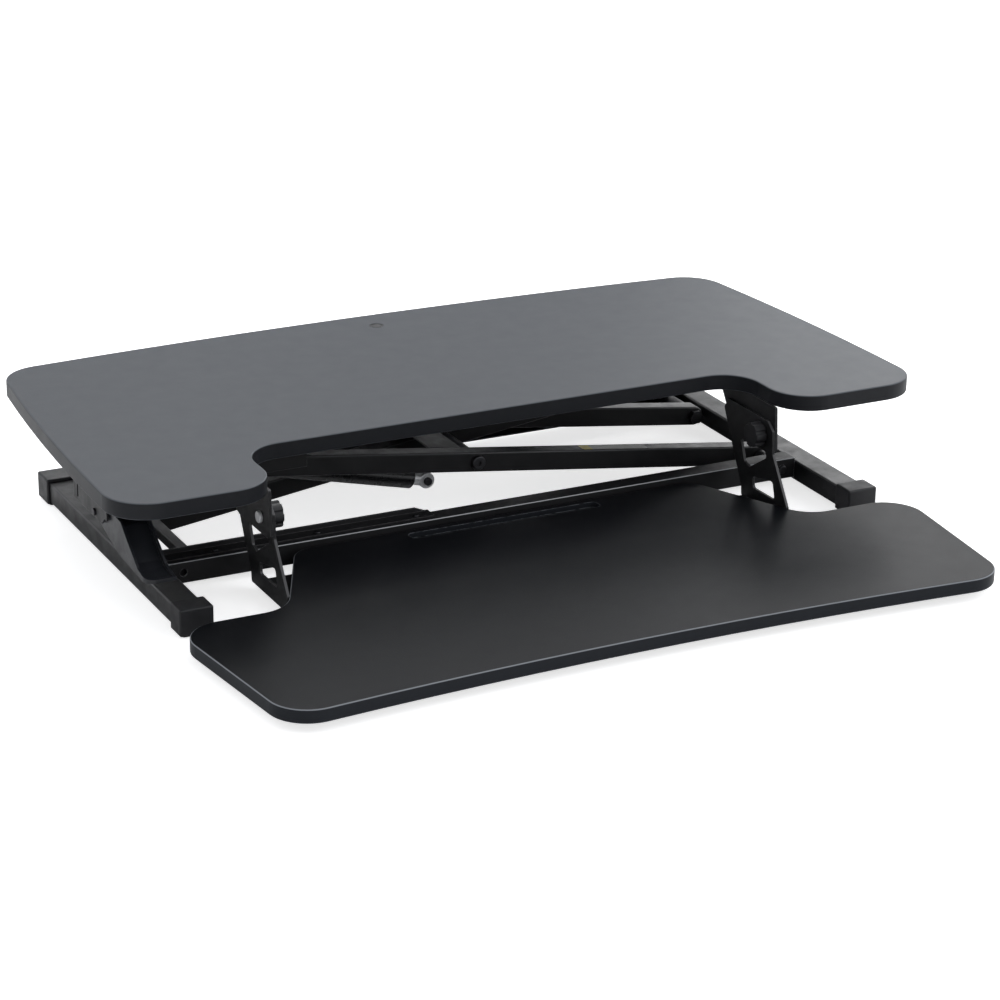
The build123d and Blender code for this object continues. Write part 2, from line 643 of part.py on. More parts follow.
def upper_pivot_blocks():
    """Two blocks under the board's right end that hold its pivot bar."""
    blocks = []
    for y0 in (UPPER_CHANNEL_Y + CHANNEL_WALL, REAR_UPPER_CHANNEL_Y):
        y1 = y0 + CHANNEL_D - CHANNEL_WALL
        piece = block(HALF_SPAN - PIVOT_BLOCK_HALF, HALF_SPAN + PIVOT_BLOCK_HALF, y0, y1,
                      UNDER - CHANNEL_H, UNDER)
        piece = fillet(piece.edges().filter_by(Axis.Y).group_by(Axis.Z)[0], 3)
        piece += block(HALF_SPAN - PIVOT_FOOT_HALF, HALF_SPAN + PIVOT_FOOT_HALF, y0, y1,
                       UNDER - PLATE, UNDER)
        blocks.append(piece - rod_y(HALF_SPAN, HIGH_Z, y0 - 1, y1 + 1, AXLE_R))
    return blocks


def upper_pivot_bar():
    y0 = UPPER_CHANNEL_Y + CHANNEL_WALL
    y1 = REAR_UPPER_CHANNEL_Y + CHANNEL_D - CHANNEL_WALL
    return rod_y(HALF_SPAN, HIGH_Z, y0, y1, AXLE_R)


HANGER_SHAPE = [(-71, UNDER), (-75, 80), (-66, 76), (8, 76), (17, 79), (40, 114), (49, UNDER)]
ARM_SHAPE = [(-73, 103), (-75, 77), (-109, 26), (-112, TRAY_UNDER - 2.5), (-14, TRAY_UNDER - 2.5),
             (-13, 20), (6, 54), (17, 75), (30, 100), (22, 112), (-62, 112)]
UPPER_OPENING = [(-8, 74), (-60, 76), (-63, 69), (-29, 47), (-17, 50)]
LOWER_OPENING = [(-36, 38), (-78, 46), (-84, 26), (-38, 25)]


HANGER_SCREWS = [(318, -42), (318, 18), (326, -12)]


def tray_hanger():
    """The right hanger: a plate under the wing's inner edge with a flange screwed to the board."""
    plate = rounded_yz(HANGER_SHAPE, HANGER_X, HANGER_X + PLATE, 2)
    flange = block(HANGER_X, 334, -58, 31, UNDER - PLATE, UNDER)
    plate += fillet(flange.edges().filter_by(Axis.Z).sort_by(Axis.X)[-2:], 6)
    return plate - rod_x(KNOB_Y, KNOB_Z, HANGER_X - 1, HANGER_X + PLATE + 1, CLAMP_R + RUN_CLEAR)


def left_tray_hanger(hanger):
    """The left hanger, with its rear corner cut away to clear the upper track."""
    y0 = UPPER_CHANNEL_Y - 0.8
    return mirrored(hanger) - block(-340, -295, y0, y0 + 30, UNDER - CHANNEL_H - 1, UNDER + 1)


def tray_arm():
    """The right arm: it hangs from the clamp bolt and carries the tray on a foot flange."""
    arm = rounded_yz(ARM_SHAPE, ARM_PLATE_X, ARM_PLATE_X + PLATE, 3)
    arm -= rounded_yz(UPPER_OPENING, ARM_PLATE_X - 1, ARM_PLATE_X + PLATE + 1, 3)
    arm -= rounded_yz(LOWER_OPENING, ARM_PLATE_X - 1, ARM_PLATE_X + PLATE + 1, 4)
    foot = block(236, ARM_PLATE_X + PLATE, -106, -20, TRAY_UNDER - 2.5, TRAY_UNDER)
    arm += fillet(foot.edges().filter_by(Axis.Z).sort_by(Axis.X)[:2], 6)
    return arm - rod_x(KNOB_Y, KNOB_Z, ARM_PLATE_X - 1, ARM_PLATE_X + PLATE + 1, CLAMP_R + RUN_CLEAR)


TRAY_SCREWS = [(250, -32), (250, -64), (264, -94)]


def tray_knob():
    """The right clamp knob: a lobed plastic disc on a short threaded stud."""
    x0 = ARM_PLATE_X - 14
    disc = rod_x(KNOB_Y, KNOB_Z, x0, ARM_PLATE_X - 1.5, KNOB_R)
    lobes = 7
    for i in range(lobes):
        angle = 2 * math.pi * i / lobes
        y = KNOB_Y + (KNOB_R + 1.6) * math.cos(angle)
        z = KNOB_Z + (KNOB_R + 1.6) * math.sin(angle)
        disc -= rod_x(y, z, x0 - 1, ARM_PLATE_X, 3.2)
    return disc - rod_x(KNOB_Y, KNOB_Z, x0 + 4, ARM_PLATE_X, CLAMP_R)


def tray_clamp_bolt():
    """The bright bolt that the tray arm turns on; the knob tightens it to hold the tilt."""
    x0 = ARM_PLATE_X - 10
    end = HANGER_X + PLATE + 0.5
    stud = rod_x(KNOB_Y, KNOB_Z, x0, end, CLAMP_R)
    return stud + fillet(rod_x(KNOB_Y, KNOB_Z, end, end + 3.5, 6.5).edges().sort_by(Axis.X)[-1], 1.4)


# ---------------------------------------------------------------- release lever
def lever_bracket():
    """An inverted U under the board's left edge that the lever hangs in."""
    x0 = LEVER_LEFT - 3.2
    x1 = LEVER_RIGHT + 3.2
    y0 = -9
    y1 = 91
    outer = block(x0, x1, y0, y1, 91, UNDER)
    inner = block(x0 + 2, x1 - 2, y0 - 1, y1 + 1, 90, UNDER - 2.5)
    bracket = outer - inner
    bracket -= plate_yz([(y0 - 1, 90), (y0 + 16, 90), (y0 + 8, 99), (y0 - 1, 99)], x0 - 1, x1 + 1)
    bracket -= block(x0 - 1, x1 + 1, 76, 80, 95, 110)
    return bracket - rod_x(LEVER_PIVOT_Y, LEVER_PIVOT_Z, x0 - 1, x1 + 1, 3)


def lever_pin():
    x0 = LEVER_LEFT - 3.2
    x1 = LEVER_RIGHT + 3.2
    pin = rod_x(LEVER_PIVOT_Y, LEVER_PIVOT_Z, x0 - 2, x1 + 2, 3)
    for a, b in ((x0 - 2, x0), (x1, x1 + 2)):
        pin += rod_x(LEVER_PIVOT_Y, LEVER_PIVOT_Z, a, b, 3.8)
    return pin


def lever_plan(inset, right):
    """The upright block that gives the lever its rounded outer front corner."""
    side = LEVER_LEFT + inset
    front = LEVER_FRONT + inset
    plan = block(side, right, front, 60, 40, 140)
    corner = [e for e in plan.edges().filter_by(Axis.Z) if abs(e.center().X - side) < 0.1 and e.center().Y < 0]
    return fillet(corner, LEVER_CORNER_R - inset)


LEVER_RIM = [(LEVER_FRONT, 71), (-103, 72), (-86, 75.5), (-76.5, 83), (-60, 94), (-41, 109)]
LEVER_FLOOR = [(-125, 69.6), (-103, 69.8), (-86, 71.5), (-74, 76), (-58, 88), (-38, 103)]
LEVER_BELOW = [(36, 93), (31, 88), (20, 87), (-16, 76), (-36, 71), (-104, 67), (LEVER_FRONT, 67.5)]


def release_lever():
    """A scoop-shaped paddle: two side walls with a thin rim, a floor for the fingers and a rising back."""
    side = LEVER_BELOW + LEVER_RIM + [(-20, 110.5), (26, 107), (36, 102)]
    outer = plate_yz(side, LEVER_LEFT, LEVER_RIGHT) & lever_plan(0, LEVER_RIGHT)
    w = LEVER_WALL
    inside = [(30, 130), (-125, 130)] + LEVER_FLOOR + [(-18, 105.5), (30, 102)]
    hollow = rounded_yz(inside, LEVER_LEFT, LEVER_RIGHT - w, 1.5) & lever_plan(w, LEVER_RIGHT - w)
    scoop = outer - hollow
    under = [(40, 60), (40, 97), (-16, 100), (-34, 99), (-56, 83), (-68, 73), (-60, 60)]
    scoop -= plate_yz(under, LEVER_LEFT + w, LEVER_RIGHT - w)
    return scoop - rod_x(LEVER_PIVOT_Y, LEVER_PIVOT_Z, LEVER_LEFT - 1, LEVER_RIGHT + 1, 3 + RUN_CLEAR)


# ---------------------------------------------------------------- screws
def screw_up(x, y, head_z, tip):
    """A pan-head screw driven upwards; its head hangs below head_z."""
    head = fillet(rod_z(x, y, head_z - SCREW_HEAD_H, head_z, SCREW_HEAD_R).edges().sort_by(Axis.Z)[0], 1)
    return rod_z(x, y, head_z, tip, SCREW_R) + head


def screw_flush(x, y, face_z, tip):
    """A countersunk screw driven upwards; its head lies inside the plate above face_z."""
    head = Pos(x, y, face_z + CHANNEL_WALL / 2) * Cone(FLUSH_HEAD_R, SCREW_R, CHANNEL_WALL)
    return head + rod_z(x, y, face_z + CHANNEL_WALL, tip, SCREW_R)


TRACK_SCREW_X = (-350, -290, -230)
PIVOT_SCREW_X = (HALF_SPAN - 13.2, HALF_SPAN + 13.2)
LEVER_SCREWS = [(-437, 0), (-437, 60)]


def board_screws():
    screws = []
    for x, y in HANGER_SCREWS:
        for side in (-1, 1):
            screws.append(screw_up(side * x, y, UNDER - PLATE, UNDER + 12))
    for x in PIVOT_SCREW_X:
        for y0 in (UPPER_CHANNEL_Y, REAR_UPPER_CHANNEL_Y):
            screws.append(screw_up(x, y0 + CHANNEL_D / 2, UNDER - PLATE, UNDER + 12))
    for x, y in LEVER_SCREWS:
        screws.append(screw_up(x, y, UNDER - 2.5, UNDER + 12))
    return screws


def track_screws():
    face_z = UNDER - CHANNEL_WALL
    rows = (UPPER_CHANNEL_Y + CHANNEL_D / 2, REAR_UPPER_CHANNEL_Y + CHANNEL_D / 2)
    return [screw_flush(x, y, face_z, UNDER + 12) for x in TRACK_SCREW_X for y in rows]


def tray_screws():
    screws = []
    for x, y in TRAY_SCREWS:
        for side in (-1, 1):
            screws.append(screw_up(side * x, y, TRAY_UNDER - 2.5, TRAY_UNDER + 10))
    return screws


def cut(shape, tools):
    """Drills a shape with every tool."""
    for tool in tools:
        shape -= tool
    return shape


def build():
    up = board_screws()
    flush = track_screws()
    down = tray_screws()
    board = cut(desktop_board(), up + flush)
    tray = cut(keyboard_tray(), down)
    hanger = cut(tray_hanger(), up)
    arm = tray_arm() - tray
    arm = cut(arm, down)
    lower_front = roller(-HALF_SPAN, LOW_Z, BASE_CHANNEL_Y + CHANNEL_WALL + 2)
    lower_rear = roller(-HALF_SPAN, LOW_Z, REAR_BASE_CHANNEL_Y + 3)
    upper_front = roller(-HALF_SPAN, HIGH_Z, UPPER_CHANNEL_Y + CHANNEL_WALL + 2)
    upper_rear = roller(-HALF_SPAN, HIGH_Z, REAR_UPPER_CHANNEL_Y + 3)
    return {
        "desktop_board": board,
        "cable_hole_plug": cable_hole_plug(),
        "upper_track_front": cut(upper_track(UPPER_CHANNEL_Y, True), flush),
        "upper_track_rear": cut(upper_track(REAR_UPPER_CHANNEL_Y, False), flush),
        "upper_pivot_blocks": [cut(piece, up) for piece in upper_pivot_blocks()],
        "upper_pivot_bar": upper_pivot_bar(),
        "tray_hanger_right": hanger,
        "tray_hanger_left": left_tray_hanger(hanger),
        "lever_bracket": cut(lever_bracket(), up),
        "lever_pin": lever_pin(),
        "board_screws": up,
        "track_screws": flush,
        "release_lever": release_lever(),
        "keyboard_tray": tray,
        "tray_arm_right": arm,
        "tray_arm_left": mirrored(arm),
        "tray_screws": down,
        "tray_knob_right": tray_knob(),
        "tray_knob_left": mirrored(tray_knob()),
        "tray_clamp_bolt_right": tray_clamp_bolt(),
        "tray_clamp_bolt_left": mirrored(tray_clamp_bolt()),
        "side_rail_right": side_rail(),
        "side_rail_left": mirrored(side_rail()),
        "front_cap_right": front_cap(),
        "front_cap_left": mirrored(front_cap()),
        "rear_cap_right": rear_cap(),
        "rear_cap_left": mirrored(rear_cap()),
        "foot_pads": foot_pads(),
        "base_channel_front": base_channel(BASE_CHANNEL_Y, True),
        "base_channel_rear": base_channel(REAR_BASE_CHANNEL_Y, False),
        "base_pivot_pins": base_pivot_pins(),
        "base_pivot_nuts": base_pivot_nuts(),
        "base_pivot_sleeves": base_pivot_sleeves(),
        "lock_rack": lock_rack(),
        "rack_screws": rack_screws(),
        "outer_arm_front": outer_arm(OUTER_FRONT_Y),
        "outer_arm_rear": outer_arm(OUTER_REAR_Y),
        "centre_bolt": centre_bolt(),
        "centre_nut": centre_nut(),
        "centre_sleeves": centre_sleeves(),
        "outer_arm_tie": outer_arm_tie(),
        "upper_slide_tube": upper_slide_tube(),
        "upper_slide_axle": upper_slide_axle(),
        "rod_ears": rod_ears(),
        "inner_beam": inner_beam(),
        "lower_cross_bar": lower_cross_bar(),
        "lower_stub_axles": lower_stub_axles(),
        "upper_pivot_tube": upper_pivot_tube(),
        "gas_spring_lug": gas_spring_lug(),
        "gas_spring_bolt": gas_spring_stud(),
        "gas_cylinder": gas_cylinder(),
        "gas_cylinder_seal": gas_cylinder_seal(),
        "gas_lower_eye": gas_lower_eye(),
        "gas_rod": gas_rod(),
        "gas_rod_eye": gas_rod_eye(),
        "gas_rod_bolt": gas_rod_bolt(),
        "rollers_lower": [lower_front, lower_rear],
        "rollers_upper": [upper_front, upper_rear],
        "lock_carriage": lock_carriage(),
        "lock_latch": lock_latch(),
    }


def write(parts):
    os.makedirs("parts", exist_ok=True)
    for name, shape in parts.items():
        if isinstance(shape, list):
            shape = Compound(children=[s.solid() for s in shape])
        export_step(shape, f"parts/{name}.step")


write(build())
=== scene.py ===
import bpy
import bmesh
import json
import math
from mathutils import Matrix, Vector

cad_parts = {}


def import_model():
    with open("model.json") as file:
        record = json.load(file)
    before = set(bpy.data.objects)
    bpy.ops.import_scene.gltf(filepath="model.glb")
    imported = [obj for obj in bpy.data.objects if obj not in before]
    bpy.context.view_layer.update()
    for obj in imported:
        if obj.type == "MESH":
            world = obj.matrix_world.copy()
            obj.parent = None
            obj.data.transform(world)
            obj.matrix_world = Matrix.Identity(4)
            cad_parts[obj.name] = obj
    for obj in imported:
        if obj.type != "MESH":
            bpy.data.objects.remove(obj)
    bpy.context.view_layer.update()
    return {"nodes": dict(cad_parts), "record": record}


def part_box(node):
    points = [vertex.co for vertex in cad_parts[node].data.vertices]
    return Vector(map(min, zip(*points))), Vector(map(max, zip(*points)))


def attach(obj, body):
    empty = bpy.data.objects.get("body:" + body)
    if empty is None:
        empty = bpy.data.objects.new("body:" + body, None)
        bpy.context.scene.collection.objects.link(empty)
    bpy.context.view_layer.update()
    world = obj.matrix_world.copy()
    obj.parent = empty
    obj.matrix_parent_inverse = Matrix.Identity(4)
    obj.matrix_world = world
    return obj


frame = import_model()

# Standing desk converter on a pale studio floor. All lengths are in metres.

BEVEL_SAMPLES = 4


# ---------------------------------------------------------------- shader building
def shade(colour, factor):
    """The same colour, darker or lighter by a factor."""
    return [channel * factor for channel in colour]


class Shader:
    """A material with a principled shader and short calls to add nodes to it."""

    def __init__(self, name):
        self.mat = bpy.data.materials.new(name)
        self.mat.use_nodes = True
        self.nodes = self.mat.node_tree.nodes
        self.links = self.mat.node_tree.links
        self.bsdf = self.nodes["Principled BSDF"]
        self.where = self.nodes.new("ShaderNodeTexCoord")

    def put(self, socket, value):
        """Connects a node's output to a socket, or sets the socket's value."""
        if hasattr(value, "is_linked"):
            self.links.new(value, socket)
        elif isinstance(value, (tuple, list)) and socket.type == "RGBA":
            socket.default_value = (*value[:3], 1.0)
        else:
            socket.default_value = value

    def math(self, how, a, b=0.0):
        node = self.nodes.new("ShaderNodeMath")
        node.operation = how
        self.put(node.inputs[0], a)
        self.put(node.inputs[1], b)
        return node.outputs[0]

    def scaled(self, scale):
        """Object coordinates stretched by scale along each axis."""
        node = self.nodes.new("ShaderNodeMapping")
        node.inputs["Scale"].default_value = scale
        self.links.new(self.where.outputs["Object"], node.inputs["Vector"])
        return node.outputs[0]

    def noise(self, scale, detail=3.0, rough=0.55, stretch=(1, 1, 1)):
        node = self.nodes.new("ShaderNodeTexNoise")
        node.inputs["Scale"].default_value = scale
        node.inputs["Detail"].default_value = detail
        node.inputs["Roughness"].default_value = rough
        self.links.new(self.scaled(stretch), node.inputs["Vector"])
        return node.outputs["Fac"]

    def cells(self, scale):
        node = self.nodes.new("ShaderNodeTexVoronoi")
        node.inputs["Scale"].default_value = scale
        self.links.new(self.scaled((1, 1, 1)), node.inputs["Vector"])
        return node.outputs["Distance"]

    def span(self, value, low, high, to_low=0.0, to_high=1.0):
        """Carries the range low..high over to to_low..to_high, cut off at both ends."""
        node = self.nodes.new("ShaderNodeMapRange")
        self.put(node.inputs["Value"], value)
        node.inputs["From Min"].default_value = low
        node.inputs["From Max"].default_value = high
        node.inputs["To Min"].default_value = to_low
        node.inputs["To Max"].default_value = to_high
        return node.outputs["Result"]

    def mix(self, share, under, over):
        node = self.nodes.new("ShaderNodeMix")
        node.data_type = "RGBA"
        self.put(node.inputs["Factor"], share)
        self.put(node.inputs["A"], under)
        self.put(node.inputs["B"], over)
        return node.outputs["Result"]

    def patches(self, under, over, where, low, high, most=1.0):
        """Lays a colour over another as where rises from low to high, up to the share most."""
        return self.mix(self.span(where, low, high, 0.0, most), under, over)

    def wear_and_highlight(self, under, over, where, share):
        """Lays a colour over another where a mask is 1, by a share."""
        return self.mix(self.math("MULTIPLY", where, share), under, over)

    def edges(self, radius):
        """1 on sharp edges and 0 on flat faces, from a rounded-edge normal."""
        bevel = self.nodes.new("ShaderNodeBevel")
        bevel.samples = BEVEL_SAMPLES
        bevel.inputs["Radius"].default_value = radius
        geometry = self.nodes.new("ShaderNodeNewGeometry")
        dot = self.nodes.new("ShaderNodeVectorMath")
        dot.operation = "DOT_PRODUCT"
        self.links.new(bevel.outputs[0], dot.inputs[0])
        self.links.new(geometry.outputs["Normal"], dot.inputs[1])
        return self.span(dot.outputs["Value"], 0.995, 0.85)

    def rubbed_and_highlit_edges(self, radius, scale, detail, low, high):
        """The sharp edges, broken up by noise."""
        broken = self.span(self.noise(scale, detail), low, high)
        return self.math("MULTIPLY", self.edges(radius), broken)

    def steepness(self):
        """1 on faces that look straight up or down and 0 on upright ones."""
        split = self.nodes.new("ShaderNodeSeparateXYZ")
        self.links.new(self.where.outputs["Normal"], split.inputs[0])
        return self.math("ABSOLUTE", split.outputs["Z"])

    def rim(self):
        """1 on the rounded edges between an upright face and a flat top, 0 elsewhere."""
        tilt = self.steepness()
        off_side = self.span(tilt, 0.25, 0.55)
        off_top = self.span(tilt, 0.985, 0.90)
        return self.math("MULTIPLY", off_side, off_top)

    def finish(self, colour, rough, metal=0.0, spec=0.5):
        self.put(self.bsdf.inputs["Base Color"], colour)
        self.put(self.bsdf.inputs["Roughness"], rough)
        self.bsdf.inputs["Metallic"].default_value = metal
        self.bsdf.inputs["Specular IOR Level"].default_value = spec

    def bump(self, *layers, soft_edge=0.0):
        """Adds bump layers of (height, strength, distance), over a slightly rounded edge."""
        last = None
        if soft_edge:
            bevel = self.nodes.new("ShaderNodeBevel")
            bevel.samples = BEVEL_SAMPLES
            bevel.inputs["Radius"].default_value = soft_edge
            last = bevel.outputs[0]
        for height, strength, distance in layers:
            node = self.nodes.new("ShaderNodeBump")
            node.inputs["Strength"].default_value = strength
            node.inputs["Distance"].default_value = distance
            self.links.new(height, node.inputs["Height"])
            if last:
                self.links.new(last, node.inputs["Normal"])
            last = node.outputs[0]
        self.links.new(last, self.bsdf.inputs["Normal"])


# ---------------------------------------------------------------- kinds of surface
def laminate(name, top, band, wear_and_highlight, sheen, rough_low, highlight_share):
    """Textured board laminate with a plastic edge-band colour on its upright faces."""
    s = Shader(name)
    fine = s.noise(1500, 2.0)
    streak = s.noise(28, 5.0, 0.6, stretch=(1, 14, 14))
    cloud = s.noise(5, 3.0)
    upright = s.span(s.steepness(), 0.75, 0.25)
    tint = s.patches(top, shade(top, 0.86), streak, 0.3, 0.7, 0.45)
    tint = s.patches(tint, shade(top, 1.10), cloud, 0.3, 0.7, 0.15)
    tint = s.patches(tint, shade(top, 0.80), fine, 0.35, 0.65, 0.35)
    tint = s.mix(upright, tint, band)
    # Painted highlight: the sharp edges, broken up by noise, and the rounded rims between the sides
    # and the top take a brighter edge colour, standing in for light glinting along them.
    tint = s.wear_and_highlight(tint, wear_and_highlight, s.rubbed_and_highlit_edges(0.0012, 160, 3.0, 0.35, 0.62), highlight_share)
    tint = s.wear_and_highlight(tint, wear_and_highlight, s.rim(), highlight_share)
    rough = s.span(s.noise(40, 4.0), 0.3, 0.7, rough_low, rough_low + 0.04)
    s.finish(tint, rough, spec=sheen)
    grain = s.noise(900, 4.0, 0.65, stretch=(1, 1.7, 1))
    s.bump((streak, 0.03, 0.0003), (grain, 0.22, 0.00025))
    return s.mat


def powder_coat(name, base, wear_and_highlight, rough=0.42, spec=0.5, highlight_share=0.6):
    """Black powder coat: orange peel, faint dust, slightly brighter worn edges, and a painted
    highlight along its rounded rims.
    """
    s = Shader(name)
    peel = s.noise(1100, 2.0)
    cloud = s.noise(22, 4.0)
    dust = s.noise(260, 5.0, 0.7)
    tint = s.patches(base, shade(base, 1.35), cloud, 0.3, 0.7, 0.5)
    tint = s.patches(tint, shade(base, 2.2), dust, 0.58, 0.78, 0.25)
    tint = s.wear_and_highlight(tint, wear_and_highlight, s.rubbed_and_highlit_edges(0.0014, 120, 4.0, 0.30, 0.62), 0.6)
    # Painted highlight: the rounded rims between the sides and the top take the brighter edge
    # colour as a glint line.
    tint = s.wear_and_highlight(tint, wear_and_highlight, s.rim(), highlight_share)
    gloss = s.span(s.noise(55, 4.0), 0.3, 0.7, rough - 0.07, rough + 0.09)
    s.finish(tint, gloss, spec=spec)
    s.bump((peel, 0.30, 0.00022), (s.noise(90, 3.0), 0.06, 0.0005), soft_edge=0.0008)
    return s.mat


def moulded(name, base, rough=0.5, grain=1300):
    """Moulded plastic with a spark-eroded grain."""
    s = Shader(name)
    pebble = s.cells(grain)
    cloud = s.noise(35, 3.0)
    tint = s.patches(base, shade(base, 1.3), cloud, 0.3, 0.7, 0.5)
    tint = s.wear_and_highlight(tint, shade(base, 2.6), s.edges(0.001), 0.35)
    gloss = s.span(s.noise(70, 3.0), 0.3, 0.7, rough - 0.06, rough + 0.08)
    s.finish(tint, gloss, spec=0.45)
    s.bump((pebble, 0.25, 0.0002), (s.noise(420, 2.0), 0.08, 0.0003), soft_edge=0.0007)
    return s.mat


def plated(name, base, rough, stretch=(1, 1, 1), metal=1.0):
    """Plated or turned steel: fine tool marks, blotches and softened edges."""
    s = Shader(name)
    marks = s.noise(900, 4.0, 0.6, stretch=stretch)
    blotch = s.noise(60, 4.0)
    tint = s.patches(base, shade(base, 0.72), blotch, 0.35, 0.7, 0.6)
    tint = s.patches(tint, shade(base, 0.85), marks, 0.35, 0.65, 0.3)
    dull = s.span(blotch, 0.3, 0.7, rough - 0.05, rough + 0.10)
    scratched = s.span(marks, 0.3, 0.7, 0.0, 0.08)
    s.finish(tint, s.math("ADD", dull, scratched), metal=metal)
    s.bump((marks, 0.18, 0.0001), soft_edge=0.0004)
    return s.mat


def rubber(name, base):
    """Dark rubber with a fine grain."""
    s = Shader(name)
    tint = s.patches(base, shade(base, 1.6), s.noise(80, 4.0), 0.3, 0.7)
    s.finish(tint, s.span(s.noise(30, 3.0), 0.3, 0.7, 0.72, 0.88), spec=0.3)
    s.bump((s.noise(700, 3.0), 0.4, 0.0003))
    return s.mat


# ---------------------------------------------------------------- looks of the CAD nodes
STEEL_BLACK = (0.010, 0.010, 0.011)

LOOKS = {
    # The boards' edge colours paint bright highlight lines along their rounded edges and the tray's
    # groove; the steels' edge colours mix rubbed wear with a painted highlight along their rims.
    "board_laminate": laminate(
        "desk_laminate", top=(0.046, 0.052, 0.062), band=(0.012, 0.013, 0.016),
        wear_and_highlight=(0.12, 0.13, 0.145), sheen=0.22, rough_low=0.38, highlight_share=0.5),
    "tray_laminate": laminate(
        "tray_laminate", top=(0.0045, 0.005, 0.0065), band=(0.018, 0.020, 0.024),
        wear_and_highlight=(0.36, 0.38, 0.41), sheen=0.09, rough_low=0.31, highlight_share=0.65),
    "black_steel": powder_coat("black_steel", STEEL_BLACK, (0.12, 0.12, 0.125), spec=0.35),
    "black_tube": powder_coat(
        "black_tube", (0.011, 0.011, 0.012), (0.10, 0.10, 0.105), rough=0.36, spec=0.38),
    "black_plastic": moulded("black_plastic", (0.012, 0.012, 0.014), 0.46),
    "lever_plastic": moulded("lever_plastic", (0.012, 0.013, 0.016), 0.34, grain=1800),
    "gas_black": powder_coat("gas_black", STEEL_BLACK, (0.10, 0.10, 0.10), rough=0.25),
    "bright_steel": plated("bright_steel", (0.86, 0.86, 0.87), 0.30, metal=0.35),
    "rod_chrome": plated("rod_chrome", (0.82, 0.82, 0.84), 0.10, stretch=(0.1, 4, 4)),
    "screw_steel": plated("screw_steel", (0.07, 0.07, 0.075), 0.38),
    "nylon": moulded("nylon", (0.035, 0.035, 0.037), 0.42),
    "pad_rubber": rubber("pad_rubber", (0.012, 0.012, 0.012)),
}
# The base channels take a much brighter edge colour than the other steel: partly rubbed wear on
# their sharp edges, mostly a painted highlight line along their rounded top edges.
CHANNEL_EDGE_HIGHLIGHT = powder_coat(
    "channel_painted_highlight", STEEL_BLACK, (0.55, 0.56, 0.58), spec=0.35, highlight_share=0.9)
NODE_LOOKS = {"base_channel_front": CHANNEL_EDGE_HIGHLIGHT, "base_channel_rear": CHANNEL_EDGE_HIGHLIGHT}


def dress_nodes():
    """Gives every CAD node its look, by its own name or by its material slot."""
    slot_of = {part["node"]: part["material_slot"] for part in frame["record"]["subparts"]}
    for node, obj in frame["nodes"].items():
        look = NODE_LOOKS.get(node, LOOKS[slot_of[node]])
        if not obj.data.materials:
            obj.data.materials.append(look)
        for slot in obj.material_slots:
            slot.material = look


def add_object(name, data):
    obj = bpy.data.objects.new(name, data)
    bpy.context.scene.collection.objects.link(obj)
    return obj


# ---------------------------------------------------------------- sticker on the front arm
# Distances along the arm are from the scissor's centre bolt towards the base pivot.
STICKER_START = 0.1334
STICKER_END = 0.2185
STICKER_WIDTH = 0.014
STICKER_THICK = 0.00015
STICKER_CORNER = 0.0015
ARM_TOP = 0.0115          # from the arm's centre line to its top face
YELLOW_SHARE = 0.145      # of the sticker's length


def sticker_paper():
    """Blank sticker paper: a dull yellow field, then a pale one, a little rubbed."""
    s = Shader("sticker_paper")
    split = s.nodes.new("ShaderNodeSeparateXYZ")
    s.links.new(s.where.outputs["Generated"], split.inputs[0])
    field = s.span(split.outputs["X"], YELLOW_SHARE, YELLOW_SHARE + 0.005)
    tint = s.mix(field, (0.62, 0.53, 0.16), (0.42, 0.42, 0.40))
    tint = s.patches(tint, (0.15, 0.14, 0.10), s.noise(300, 4.0), 0.45, 0.75, 0.4)
    s.finish(tint, s.span(s.noise(90, 3.0), 0.3, 0.7, 0.35, 0.5), spec=0.4)
    s.bump((s.noise(500, 3.0), 0.10, 0.0001))
    return s.mat


def sticker_mesh():
    """A thin slab with rounded corners."""
    form = bmesh.new()
    bmesh.ops.create_cube(form, size=1.0)
    for vert in form.verts:
        vert.co.x *= STICKER_END - STICKER_START
        vert.co.y *= STICKER_WIDTH
        vert.co.z *= STICKER_THICK
    upright = [edge for edge in form.edges
               if abs(edge.verts[0].co.z - edge.verts[1].co.z) > STICKER_THICK / 2]
    bmesh.ops.bevel(form, geom=upright, offset=STICKER_CORNER, segments=4, affect="EDGES")
    mesh = bpy.data.meshes.new("arm_sticker")
    form.to_mesh(mesh)
    form.free()
    return mesh


def arm_sticker():
    """A blank sticker on the sloping top of the front outer arm; it carries no text."""
    joints = frame["record"]["behaviour"]["joints"]
    pivots = {joint["name"]: joint["pos_m"] for joint in joints if "pos_m" in joint}
    centre = Vector(pivots["scissor_cross"])
    along = (Vector(pivots["lift"]) - centre).normalized()
    across = Vector((0, 1, 0))
    up = across.cross(along)
    up = -up if up.z < 0 else up
    mesh = sticker_mesh()
    mesh.materials.append(sticker_paper())
    obj = add_object("arm_sticker", mesh)
    half_way = (STICKER_START + STICKER_END) / 2
    place = centre + along * half_way + up * (ARM_TOP + STICKER_THICK / 2)
    low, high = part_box("outer_arm_front")
    place.y = (low[1] + high[1]) / 2
    axes = Matrix((along, across, up)).transposed()
    obj.matrix_world = Matrix.Translation(place) @ axes.to_4x4()
    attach(obj, "outer_arms")


# ---------------------------------------------------------------- floor and light
FLOOR_HALF = 8.0
SWEEP_START = 2.2
SWEEP_R = 1.6
SWEEP_STEPS = 12
SWEEP_TOP = 6.0
# The floor's glow is seen by the camera only, so it lightens the floor and lights nothing.
FLOOR_GLOW = 0.7


